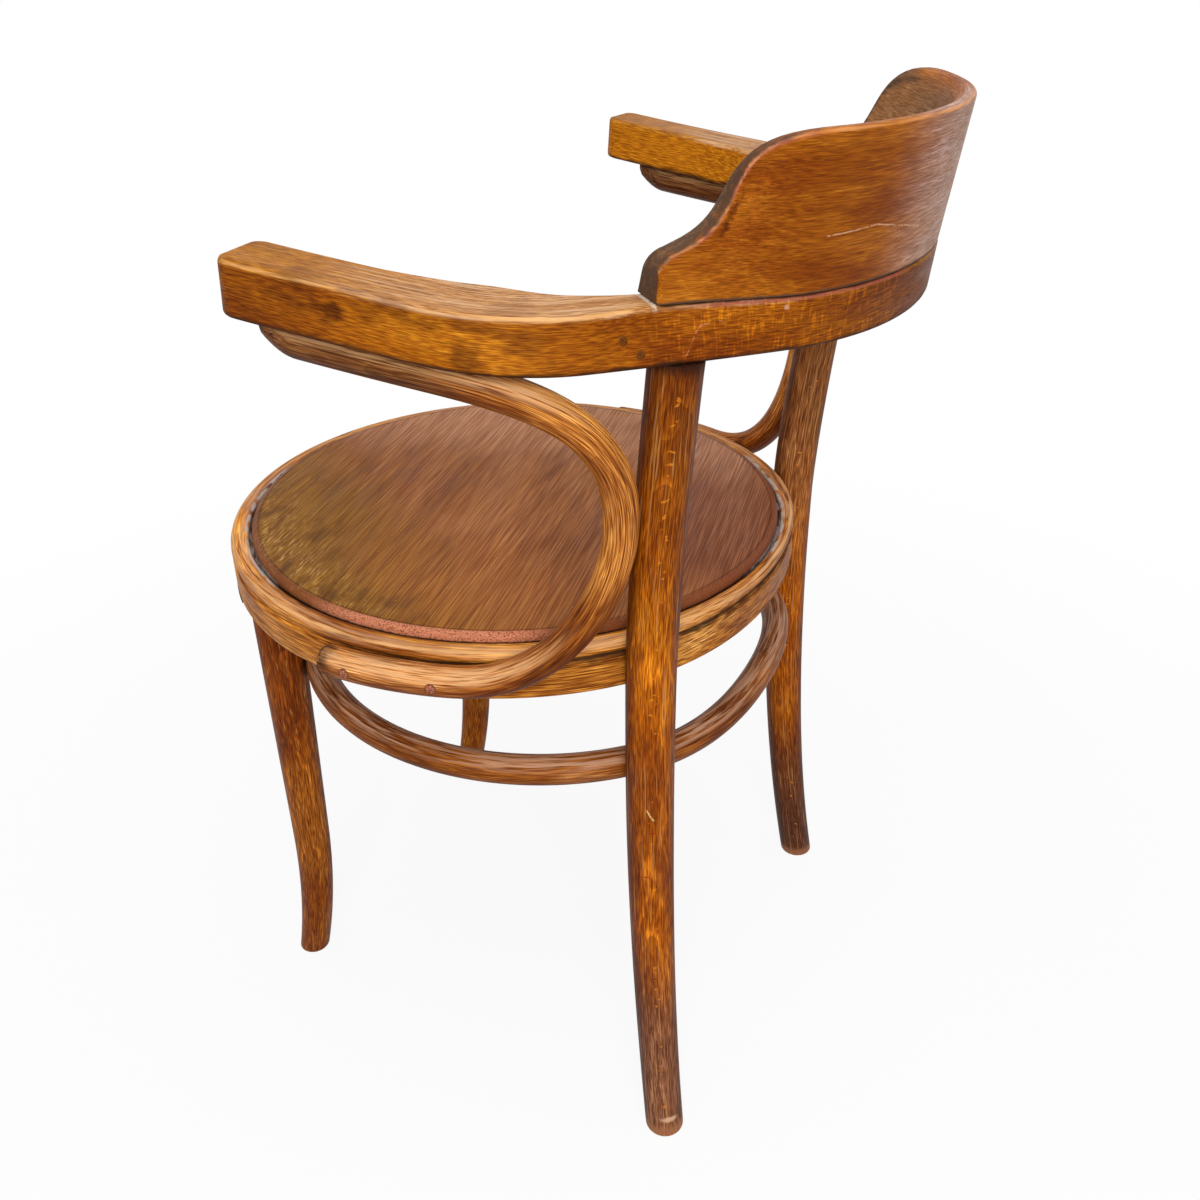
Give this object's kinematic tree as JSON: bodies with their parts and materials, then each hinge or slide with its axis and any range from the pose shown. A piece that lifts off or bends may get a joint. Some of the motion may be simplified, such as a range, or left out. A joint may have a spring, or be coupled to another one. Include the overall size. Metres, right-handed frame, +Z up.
{
  "type": "bistro armchair",
  "caption": "Bentwood bistro armchair: a round panelled seat in a bent ring, a bent rail that forms arms and back, a shaped backrest, bent rod arm supports and a foot ring.",
  "frame": {"origin": "on the floor, under the centre of the chair's bounding box", "axes": "+Z up, the sitter faces -Y, +X to the sitter's left"},
  "size_m": [0.5474, 0.5428, 0.7635],
  "materials": {
    "bow_wood": "worn satin shellac, honey brown",
    "board_wood": "worn satin shellac, warm brown",
    "rod_wood": "worn satin shellac, dark streaks",
    "panel_wood": "worn reddish stain",
    "plug_wood": "flush plugs, worn",
    "dowel_wood": "bare",
    "steel": "dull"
  },
  "bodies": {
    "root": {"arm_bow": "bow_wood", "arm_screw_left_1": "steel", "arm_screw_left_2": "steel", "arm_screw_right_1": "steel", "arm_screw_right_2": "steel", "arm_support_left": "rod_wood", "arm_support_right": "rod_wood", "backrest": "board_wood", "backrest_dowel_left_1": "dowel_wood", "backrest_dowel_left_2": "dowel_wood", "backrest_dowel_right_1": "dowel_wood", "backrest_dowel_right_2": "dowel_wood", "bow_pin_left_1": "plug_wood", "bow_pin_left_2": "plug_wood", "bow_pin_right_1": "plug_wood", "bow_pin_right_2": "plug_wood", "foot_ring": "rod_wood", "foot_ring_screw_front_left": "steel", "foot_ring_screw_front_right": "steel", "foot_ring_screw_rear_left": "steel", "foot_ring_screw_rear_right": "steel", "front_leg_left": "rod_wood", "front_leg_right": "rod_wood", "panel_screw_1": "steel", "panel_screw_2": "steel", "panel_screw_3": "steel", "panel_screw_4": "steel", "post_bolt_left": "steel", "post_bolt_right": "steel", "post_washer_left": "steel", "post_washer_right": "steel", "rear_leg_left": "rod_wood", "rear_leg_right": "rod_wood", "ring_screw_left_1": "steel", "ring_screw_left_2": "steel", "ring_screw_right_1": "steel", "ring_screw_right_2": "steel", "seat_panel": "panel_wood", "seat_ring": "rod_wood", "support_plug_left_1": "plug_wood", "support_plug_left_2": "plug_wood", "support_plug_right_1": "plug_wood", "support_plug_right_2": "plug_wood"}
  },
  "joints": []
}
